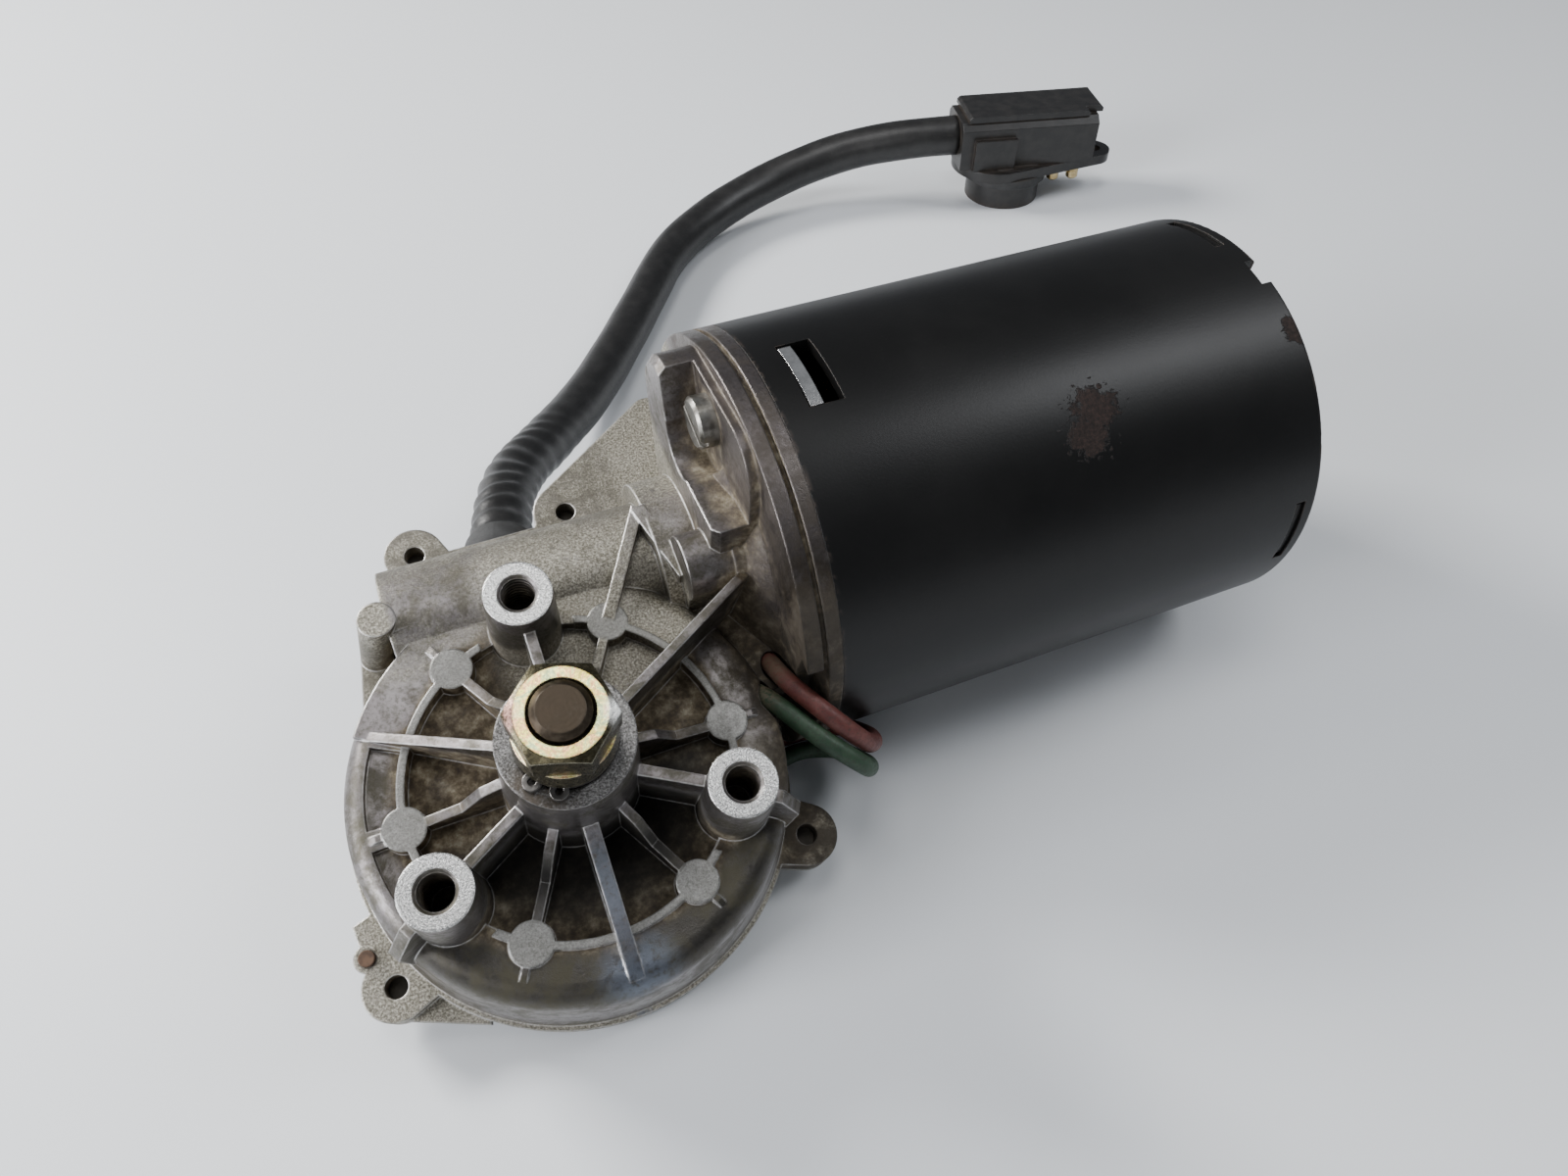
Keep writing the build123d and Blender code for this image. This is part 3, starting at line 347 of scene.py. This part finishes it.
def cast_alloy(name):
    """Die-cast housing: mottled grey, grimy in its recesses where shade is also painted in, worn bright
    along its edges, which also stand in for painted edge highlights.
    """
    g = Graph(name)
    x, _, _ = g.axes()
    upward = g.upward()
    normal, edge = g.rounded(0.55)
    mottle, grain = g.noise(0.7, 6.0, 0.7), g.noise(4.2, 3.0, 0.7)
    film = g.ease(g.noise(0.17, 9.0, 0.74, 0.4), 0.42, 0.62, 0.0, 0.8)
    by_motor = g.ease(g.add(x, g.times(mottle, 5.0)), FLANGE_LEFT - 6.0, FLANGE_LEFT - 1.0)
    pale, on_tube, by_tube = corroded_areas(g, mottle)
    dirt_and_shade, oil, painted_hub_shadow = dirt_and_shade_masks(g, edge, by_tube)
    # colour of soiling, whose near-black end paints shade into the deepest recesses
    earth_and_shade = g.ramp(g.noise(0.42, 9.0, 0.72), (0.32, (0.022, 0.015, 0.009)), (0.46, (0.070, 0.052, 0.030)),
                   (0.56, (0.150, 0.122, 0.078)), (0.68, (0.30, 0.27, 0.20)))
    # bright edges: partly real wear, partly painted edge highlights
    worn = g.times(edge, g.ease(mottle, 0.36, 0.6, 0.35, 0.9))
    worn = g.times(worn, g.invert(g.times(by_motor, 0.92)))

    colour = g.mix(g.times(pale, 0.85), bare_metal(g, film, by_motor), corrosion(g, on_tube))
    # soiling, darkened further as painted shade in the recesses
    colour = g.mix(dirt_and_shade, colour, earth_and_shade)
    colour = g.mix(oil, colour, (0.026, 0.020, 0.013))
    # painted shadow beside the hub, near black
    colour = g.mix(g.times(painted_hub_shadow, 0.9), colour, (0.006, 0.0055, 0.005))
    colour = g.mix(g.times(blue_stain(g, mottle, upward), 0.6), colour, (0.17, 0.20, 0.255))
    # edges lightened as wear and as painted highlight
    colour = g.mix(worn, colour, (0.66, 0.65, 0.64))
    colour, boss = with_flat_tops(g, colour, mottle, upward)

    dirt_and_shade_cover = g.either(dirt_and_shade, painted_hub_shadow)
    rough = g.add(g.add(g.times(mottle, 0.26), g.times(film, 0.22)), 0.22)
    rough = g.blend(g.times(pale, 0.8), rough, 0.62)
    rough = g.blend(g.either(g.times(edge, 0.8), boss), rough, 0.27)
    g.set(Base_Color=colour, Metallic=g.ease(dirt_and_shade_cover, 0.15, 0.8, 0.9, 0.0))
    g.set(Roughness=g.blend(dirt_and_shade_cover, rough, 0.88))

    skin = g.bump(g.add(g.times(grain, 0.5), g.times(mottle, 0.8)), 0.5, 0.16, normal)
    g.set(Normal=g.bump(tapped_threads(g), 0.9, 0.45, skin))
    return g.material


# ---- the other materials ----
def black_enamel(name):
    """Satin black paint on the can, with three rust spots, rust blisters and browned, worn edges."""
    g = Graph(name)
    x, _, _ = g.axes()
    normal, edge = g.rounded(0.3)
    cloud, fine = g.noise(0.05, 4.0), g.noise(2.2, 4.0, 0.6)
    ragged = g.noise(0.42, 5.0, 0.7, 0.8)

    spots = []
    for point, size in ((RUST_UPPER, 3.9), (RUST_LOWER, 3.3), (RUST_RIM, 2.4)):
        reach = g.add(g.away(point), g.times(g.math("SUBTRACT", ragged, 0.5), size * 2.1))
        spots.append(g.ease(reach, size * 1.02, size * 0.8))
    near = g.either(g.ease(g.away(RUST_UPPER), 7.5, 4.0), g.ease(g.away(RUST_LOWER), 7.0, 3.6))
    blisters = g.times(near, g.ease(g.cells(0.62), 0.34, 0.24))
    spots.append(g.times(blisters, g.ease(ragged, 0.5, 0.58)))
    rust = g.any_of(spots)
    right_rim = g.ease(x, CAN_RIGHT - 1.0, CAN_RIGHT - 0.2)
    left_rim = g.ease(x, CAN_LEFT + 0.8, CAN_LEFT + 0.2, 0.0, 0.4)
    rim = g.times(g.either(right_rim, left_rim), g.ease(ragged, 0.46, 0.62))
    worn = g.times(g.either(rim, g.times(edge, g.ease(ragged, 0.42, 0.6))), 0.8)

    paint = g.mix(g.ease(cloud, 0.35, 0.7), (0.0022, 0.0021, 0.0020), (0.0042, 0.0040, 0.0038))
    paint = g.mix(g.times(g.ease(fine, 0.6, 0.78), 0.3), paint, (0.010, 0.010, 0.010))
    brown = g.ramp(g.noise(1.6, 5.0, 0.8), (0.34, (0.007, 0.005, 0.004)), (0.52, (0.019, 0.012, 0.010)),
                   (0.7, (0.042, 0.025, 0.020)))
    colour = g.mix(rust, g.mix(worn, paint, (0.085, 0.065, 0.052)), brown)
    g.set(Base_Color=colour, Specular_IOR_Level=0.30)
    rough = g.add(g.times(cloud, 0.08), g.add(g.times(fine, 0.04), 0.34))
    g.set(Roughness=g.blend(g.either(rust, worn), rough, 0.82))
    height = g.add(g.times(fine, 0.10), g.times(rust, g.add(0.6, g.times(g.noise(1.2, 4.0), 0.9))))
    g.set(Normal=g.bump(height, 0.6, 0.22, normal))
    return g.material


def plated_nut(name):
    """Yellow zinc plate: iridescent on top, dark and greenish down the sides, where the darkness is painted
    shade, marked at two corners.
    """
    g = Graph(name)
    normal, edge = g.rounded(0.35)
    mottle, wear = g.noise(0.9, 5.0, 0.7), g.noise(2.4, 4.0, 0.7)
    film = g.ramp(g.noise(0.3, 4.0, 0.6, 1.4), (0.34, (0.52, 0.40, 0.10)), (0.42, (0.72, 0.63, 0.18)),
                  (0.48, (0.72, 0.40, 0.20)), (0.54, (0.78, 0.71, 0.27)), (0.62, (0.46, 0.53, 0.28)))
    # painted shade: the nut's sides are darkened as if turned from the light
    side = g.ramp(mottle, (0.34, (0.045, 0.039, 0.022)), (0.52, (0.085, 0.074, 0.043)),
                  (0.68, (0.17, 0.155, 0.095)))
    # the top keeps the plating's colours and the sides take the painted shade
    colour = g.mix(g.ease(g.upward(), 0.90, 0.97), side, film)
    bright_corner, pink_corner = NUT_CORNERS
    bright = g.ease(g.away(bright_corner), 3.2, 1.2)
    pink = g.times(g.ease(g.away(pink_corner), 3.4, 1.6), g.ease(mottle, 0.36, 0.56))
    colour = g.mix(g.times(bright, 0.8), colour, (0.82, 0.82, 0.80))
    colour = g.mix(g.times(pink, 0.75), colour, (0.62, 0.36, 0.30))
    colour = g.mix(g.times(edge, 0.55), colour, (0.70, 0.68, 0.56))
    g.set(Base_Color=colour, Metallic=0.92, Roughness=g.ease(wear, 0.3, 0.75, 0.2, 0.42))
    g.set(Normal=g.bump(wear, 0.3, 0.08, normal))
    return g.material


def dark_shaft(name):
    """Oiled dark steel, with faint rings from turning on its end."""
    g = Graph(name)
    normal, edge = g.rounded(0.25)
    rings = g.math("SINE", g.times(g.from_axis(), 9.0))
    blotch = g.noise(0.8, 5.0, 0.7)
    colour = g.ramp(blotch, (0.34, (0.026, 0.019, 0.012)), (0.54, (0.046, 0.035, 0.024)),
                    (0.7, (0.072, 0.058, 0.042)))
    colour = g.mix(g.times(edge, 0.4), colour, (0.3, 0.28, 0.24))
    g.set(Base_Color=colour, Metallic=0.85, Roughness=g.ease(blotch, 0.3, 0.7, 0.3, 0.52))
    g.set(Normal=g.bump(g.add(g.times(rings, 0.07), blotch), 0.25, 0.09, normal))
    return g.material


def worked_metal(name, dark, light, rough, streak=(1.0, 1.0, 1.0), dirt_and_shade_share=0.3, metallic=0.95):
    """Any plain metal part: two tones, fine marks along streak, soiling and painted shade in the corners
    and bright edges.
    """
    g = Graph(name)
    normal, edge = g.rounded(0.25)
    tone, marks = g.noise(0.5, 5.0, 0.65), g.noise(3.0, 3.0, 0.6, stretch=streak)
    # ambient occlusion darkens the corners as painted shade, mixed with patchy soiling
    dirt_and_shade = g.times(g.ease(g.add(g.hidden(3.0), g.times(tone, 0.5)), 0.5, 1.0), dirt_and_shade_share)
    colour = g.mix(g.ease(tone, 0.34, 0.68), dark, light)
    colour = g.mix(dirt_and_shade, colour, (0.05, 0.042, 0.032))
    colour = g.mix(g.times(edge, 0.5), colour, tuple(min(1.0, c * 1.5) for c in light))
    g.set(Base_Color=colour, Metallic=g.times(g.invert(dirt_and_shade), metallic))
    g.set(Roughness=g.ease(g.add(g.times(marks, 0.5), dirt_and_shade), 0.1, 0.9, rough - 0.07, rough + 0.2))
    g.set(Normal=g.bump(marks, 0.25, 0.07, normal))
    return g.material


def moulded(name, dark, light, rough, dust=(0.12, 0.095, 0.07), dusty=0.35):
    """Moulded plastic, rubber or ceramic with dust settled in its corners."""
    g = Graph(name)
    normal, edge = g.rounded(0.35)
    tone, fine = g.noise(0.3, 5.0, 0.6), g.noise(2.4, 4.0, 0.65)
    settled = g.ease(g.add(g.times(g.hidden(5.0), 0.8), g.times(g.noise(0.8, 5.0, 0.75), 0.7)), 0.45, 0.95)
    settled = g.times(settled, dusty)
    colour = g.mix(settled, g.mix(g.ease(tone, 0.34, 0.7), dark, light), dust)
    colour = g.mix(g.times(edge, 0.25), colour, tuple(min(1.0, c * 2.2 + 0.02) for c in light))
    roughest = min(0.95, rough + 0.25)
    g.set(Base_Color=colour, Roughness=g.ease(g.add(fine, settled), 0.2, 1.1, rough - 0.06, roughest))
    g.set(Normal=g.bump(fine, 0.35, 0.06, normal))
    return g.material


def lead_insulation(name, clean, faded, leaves_at):
    """Thin insulation, faded and dirty, caked where it leaves the housing."""
    g = Graph(name)
    tone, fine = g.noise(0.35, 5.0, 0.7), g.noise(1.8, 4.0, 0.7)
    colour = g.mix(g.ease(tone, 0.36, 0.66), clean, faded)
    colour = g.mix(g.times(g.ease(fine, 0.48, 0.68), 0.6), colour, (0.04, 0.035, 0.027))
    caked = g.times(g.ease(g.away(leaves_at), 5.5, 1.0), g.ease(fine, 0.3, 0.6))
    colour = g.mix(g.times(caked, 0.8), colour, (0.16, 0.13, 0.09))
    g.set(Base_Color=colour, Roughness=g.ease(fine, 0.3, 0.7, 0.42, 0.7))
    g.set(Normal=g.bump(fine, 0.3, 0.06))
    return g.material


def windings(name, dark, light):
    """Bundled enamelled wire."""
    g = Graph(name)
    wire, tone = g.cells(0.55, stretch=(1.6, 1.0, 1.0)), g.noise(0.2, 3.0)
    colour = g.mix(g.ease(g.add(wire, g.times(tone, 0.5)), 0.3, 1.0), dark, light)
    g.set(Base_Color=colour, Metallic=0.8, Roughness=g.ease(tone, 0.3, 0.7, 0.25, 0.42))
    g.set(Normal=g.bump(wire, 0.5, 0.3))
    return g.material


def cable_skin(name):
    """Black sleeve with a slight gloss and small grey scuffs."""
    g = Graph(name)
    tone, fine, scuff = g.noise(0.25, 5.0, 0.65), g.noise(2.6, 4.0, 0.7), g.noise(0.9, 5.0, 0.75)
    colour = g.mix(g.ease(tone, 0.36, 0.68), (0.0065, 0.0062, 0.006), (0.014, 0.0135, 0.013))
    colour = g.mix(g.times(g.ease(scuff, 0.55, 0.72), 0.3), colour, (0.045, 0.041, 0.035))
    g.set(Base_Color=colour, Roughness=g.ease(fine, 0.25, 0.75, 0.32, 0.5))
    g.set(Normal=g.bump(g.add(fine, g.times(scuff, 0.6)), 0.35, 0.10))
    return g.material


# by the record's material slot, with one more for OWN_FINISH; the tones run from dark to light, and the
# number after them is the roughness
FINISHES = {
    "cast_alloy": cast_alloy("cast_alloy_look"),
    "black_paint": black_enamel("black_enamel_look"),
    "zinc_nut": plated_nut("zinc_nut_look"),
    "shaft_steel": dark_shaft("dark_shaft_look"),
    "cover_steel": worked_metal("cover_steel_look", (0.28, 0.28, 0.26), (0.46, 0.45, 0.41), 0.42,
                                dirt_and_shade_share=0.7),
    "screw_steel": worked_metal("screw_steel_look", (0.16, 0.15, 0.13), (0.34, 0.33, 0.3), 0.36, dirt_and_shade_share=0.7),
    # made near black so the ear holes read dark: painted shade on the cover screws
    "painted_shade_screw": worked_metal("painted_shade_screw_look", (0.035, 0.032, 0.027), (0.09, 0.083, 0.07), 0.5,
                               dirt_and_shade_share=0.9),
    "rusty_steel": worked_metal("rusty_look", (0.05, 0.028, 0.016), (0.12, 0.068, 0.04), 0.75,
                                dirt_and_shade_share=0.5, metallic=0.2),
    "spring_steel": worked_metal("spring_steel_look", (0.10, 0.095, 0.09), (0.2, 0.19, 0.18), 0.4),
    "sinter_steel": worked_metal("sinter_steel_look", (0.24, 0.235, 0.23), (0.38, 0.37, 0.36), 0.5),
    # made near black so that the can's slots read dark: painted shade on the end plate
    "end_steel": worked_metal("end_steel_painted_shade_look", (0.022, 0.0215, 0.021), (0.034, 0.033, 0.032), 0.42),
    "ground_steel": worked_metal("ground_steel_look", (0.46, 0.46, 0.47), (0.62, 0.62, 0.63), 0.22,
                                 streak=(8.0, 1.0, 1.0), dirt_and_shade_share=0.1),
    "lamination_steel": worked_metal("lamination_look", (0.14, 0.14, 0.15), (0.26, 0.26, 0.27), 0.46,
                                     streak=(14.0, 0.4, 0.4)),
    "bright_strip": worked_metal("bright_strip_look", (0.58, 0.58, 0.57), (0.78, 0.78, 0.77), 0.26,
                                 streak=(1.0, 6.0, 6.0), dirt_and_shade_share=0.05),
    "contact_brass": worked_metal("contact_brass_look", (0.48, 0.36, 0.17), (0.74, 0.6, 0.34), 0.3),
    "bronze": worked_metal("bronze_look", (0.32, 0.2, 0.1), (0.5, 0.34, 0.18), 0.48),
    "copper_enamel": windings("copper_look", (0.2, 0.07, 0.03), (0.52, 0.24, 0.11)),
    "gasket": moulded("gasket_look", (0.016, 0.015, 0.014), (0.035, 0.033, 0.03), 0.75),
    "black_rubber": moulded("black_rubber_look", (0.012, 0.012, 0.012), (0.026, 0.026, 0.026), 0.62,
                            dusty=0.3),
    "black_plastic": moulded("black_plastic_look", (0.013, 0.013, 0.014), (0.028, 0.028, 0.029), 0.42),
    "connector_plastic": moulded("connector_look", (0.007, 0.0067, 0.0064), (0.015, 0.0138, 0.0128), 0.34,
                                 dust=(0.07, 0.05, 0.035), dusty=0.4),
    "nylon": moulded("nylon_look", (0.60, 0.57, 0.48), (0.74, 0.71, 0.62), 0.4, dusty=0.15),
    "phenolic": moulded("phenolic_look", (0.09, 0.048, 0.026), (0.17, 0.095, 0.055), 0.48, dusty=0.15),
    "ferrite": moulded("ferrite_look", (0.05, 0.05, 0.053), (0.10, 0.10, 0.105), 0.6, dusty=0.1),
    "carbon": moulded("carbon_look", (0.016, 0.016, 0.017), (0.045, 0.045, 0.047), 0.5, dusty=0.0),
    "cable_rubber": cable_skin("cable_look"),
    "green_lead": lead_insulation("green_lead_look", (0.013, 0.040, 0.018), (0.032, 0.066, 0.034),
                                  GREEN_EXIT),
    "red_lead": lead_insulation("red_lead_look", (0.085, 0.017, 0.014), (0.14, 0.044, 0.035), RED_EXIT),
}
# the cover screws take a near-black finish as painted shade in the ear holes
OWN_FINISH = {"cover_screws": "painted_shade_screw"}     # a node that looks different from the rest of its slot

for part in frame["record"]["subparts"]:
    finish = OWN_FINISH.get(part["node"], part["material_slot"])
    materials = nodes[part["node"]].data.materials
    materials.clear()
    materials.append(FINISHES[finish])


# ---- the cable: a sleeve with folds where it leaves the gearbox ----
CABLE_ROUTE = [     # x and y from the output shaft, z from the floor
    (1.0, 64.0, 26.6), (3.5, 80.0, 23.4), (10.0, 96.0, 18.0), (20.5, 111.0, 12.5), (32.0, 126.0, 8.5),
    (45.0, 145.0, 6.2), (61.0, 168.0, 6.0), (75.6, 189.5, 6.0), (95.6, 203.2, 7.4), (117.3, 209.1, 10.8),
    (138.3, 207.6, 15.9), (156.98, 199.87, 20.0), (172.46, 196.01, 20.0),
]
CABLE_R = 5.75
SLEEVE_INSET = 0.04         # the sleeve's own radius is this much less
FOLDED_LENGTH = 70.0        # the folds die out over this length
FOLDS_START = 4.0           # and grow to their full height over this one
CREASE_HEIGHT, PLEAT_HEIGHT = 0.30, 0.20
SIDES = 40


def row_point(x, y, z):
    return Vector(((x + SHAFT_POINT[0]) / 1000.0, (y + SHAFT_POINT[1]) / 1000.0, z / 1000.0))


def smooth_route(points):
    """The points that a NURBS spline through these control points gives."""
    curve = bpy.data.curves.new("cable_route", "CURVE")
    curve.dimensions = "3D"
    curve.resolution_u = 24
    spline = curve.splines.new("NURBS")
    spline.points.add(len(points) - 1)
    for control, point in zip(spline.points, points):
        control.co = (*point, 1.0)
    spline.order_u = 3
    spline.use_endpoint_u = True
    holder = bpy.data.objects.new("cable_route", curve)
    bpy.context.scene.collection.objects.link(holder)
    bpy.context.view_layer.update()
    evaluated = holder.evaluated_get(bpy.context.evaluated_depsgraph_get())
    line = bpy.data.meshes.new_from_object(evaluated)
    places = [vertex.co.copy() for vertex in line.vertices]
    bpy.data.objects.remove(holder)
    bpy.data.curves.remove(curve)
    bpy.data.meshes.remove(line)
    return places


def swell(s, turn):
    """How far the surface stands out at s mm along the sleeve and at this turn round it, in mm."""
    fold = max(0.0, 1.0 - s / FOLDED_LENGTH) * min(1.0, s / FOLDS_START)
    crease = math.sin(1.15 * s + 2.6 * math.sin(turn - 0.4) + 1.1 * math.sin(2 * turn + 0.21 * s))
    pleat = math.sin(3 * turn + 0.09 * s + 1.3 * math.sin(0.13 * s))
    uneven = 0.05 * math.sin(2 * turn + 0.045 * s) + 0.04 * math.sin(0.31 * s + 2 * turn)
    return CREASE_HEIGHT * fold * crease + PLEAT_HEIGHT * fold * pleat + uneven


def sleeve(name, path):
    """A closed tube along path, folded near its start and faintly uneven all along."""
    verts, faces = [], []
    side = None
    run = 0.0
    for index, place in enumerate(path):
        before, after = path[max(index - 1, 0)], path[min(index + 1, len(path) - 1)]
        ahead = (after - before).normalized()
        if side is None:
            side = ahead.cross(Vector((0, 0, 1))).normalized()
        side = (side - ahead * side.dot(ahead)).normalized()
        up = side.cross(ahead)
        if index:
            run += (place - path[index - 1]).length
        for step in range(SIDES):
            turn = 2 * math.pi * step / SIDES
            reach = (CABLE_R + swell(run * 1000.0, turn) - SLEEVE_INSET) / 1000.0
            verts.append(place + (side * math.cos(turn) + up * math.sin(turn)) * reach)
    for start in range(0, (len(path) - 1) * SIDES, SIDES):
        for step in range(SIDES):
            a, b = start + step, start + (step + 1) % SIDES
            faces.append((a, b, b + SIDES, a + SIDES))
    faces.append(tuple(reversed(range(SIDES))))
    faces.append(tuple(range((len(path) - 1) * SIDES, len(path) * SIDES)))
    mesh = bpy.data.meshes.new(name)
    mesh.from_pydata(verts, [], faces)
    for face in mesh.polygons:
        face.use_smooth = True
    piece = bpy.data.objects.new(name, mesh)
    bpy.context.scene.collection.objects.link(piece)
    return piece


path = smooth_route([row_point(*point) for point in CABLE_ROUTE])
cable = sleeve("cable_sleeve", path)
cable.data.materials.append(FINISHES["cable_rubber"])
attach(cable, "housing")
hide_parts("cable_sheath")


# ---- floor, light and camera; places and sizes in metres in the row frame ----
FLOOR_HALF = 4.0
WARM_WHITE, COOL_WHITE, COLD_WHITE = (1.0, 0.99, 0.97), (0.95, 0.97, 1.0), (0.95, 0.96, 1.0)


def pale_floor():
    material = bpy.data.materials.new("floor_look")
    material.use_nodes = True
    shader = material.node_tree.nodes["Principled BSDF"]
    shader.inputs["Base Color"].default_value = (0.66, 0.68, 0.70, 1.0)
    shader.inputs["Roughness"].default_value = 0.55
    corners = [(x * FLOOR_HALF, y * FLOOR_HALF, 0.0) for x, y in ((-1, -1), (1, -1), (1, 1), (-1, 1))]
    mesh = bpy.data.meshes.new("floor")
    mesh.from_pydata(corners, [], [(0, 1, 2, 3)])
    mesh.materials.append(material)
    piece = bpy.data.objects.new("floor", mesh)
    bpy.context.scene.collection.objects.link(piece)


def pale_sky():
    world = bpy.data.worlds.new("studio")
    world.use_nodes = True
    colour, strength = world.node_tree.nodes["Background"].inputs[:2]
    colour.default_value = (0.86, 0.91, 1.0, 1.0)
    strength.default_value = 0.20
    bpy.context.scene.world = world


def soft_box(name, place, target, size, power, colour=(1.0, 1.0, 1.0)):
    lamp = bpy.data.lights.new(name, "AREA")
    lamp.shape = "RECTANGLE"
    lamp.size, lamp.size_y = size
    lamp.energy = power
    lamp.color = colour
    piece = bpy.data.objects.new(name, lamp)
    piece.location = place
    piece.rotation_euler = (Vector(target) - Vector(place)).to_track_quat("-Z", "Y").to_euler()
    bpy.context.scene.collection.objects.link(piece)


def photo_camera():
    """The photograph's view."""
    lens = bpy.data.cameras.new("camera")
    lens.sensor_width = 36.0
    lens.lens = 24.95
    lens.clip_start = 0.005
    camera = bpy.data.objects.new("camera", lens)
    camera.location = (-0.053496, -0.11718, 0.175485)
    camera.rotation_euler = (math.radians(42.342), 0.0, math.radians(-22.664))
    bpy.context.scene.collection.objects.link(camera)
    bpy.context.scene.camera = camera


pale_floor()
pale_sky()
soft_box("key_behind", (-0.50, 0.55, 0.50), (0.0, 0.0, 0.04), (0.30, 0.24), 12.0, WARM_WHITE)
soft_box("overhead", (-0.10, 0.0, 1.15), (-0.03, -0.04, 0.0), (0.40, 0.40), 3.6)
soft_box("left_window", (-0.80, -0.12, 0.36), (-0.03, -0.05, 0.02), (0.35, 0.35), 9.0, COLD_WHITE)
soft_box("front_left", (-0.45, -0.75, 0.55), (-0.05, -0.10, 0.0), (0.4, 0.3), 1.2)
soft_box("right_skylight", (0.62, -0.17, 0.80), (0.05, 0.0, 0.07), (0.22, 0.40), 3.4, COOL_WHITE)
photo_camera()
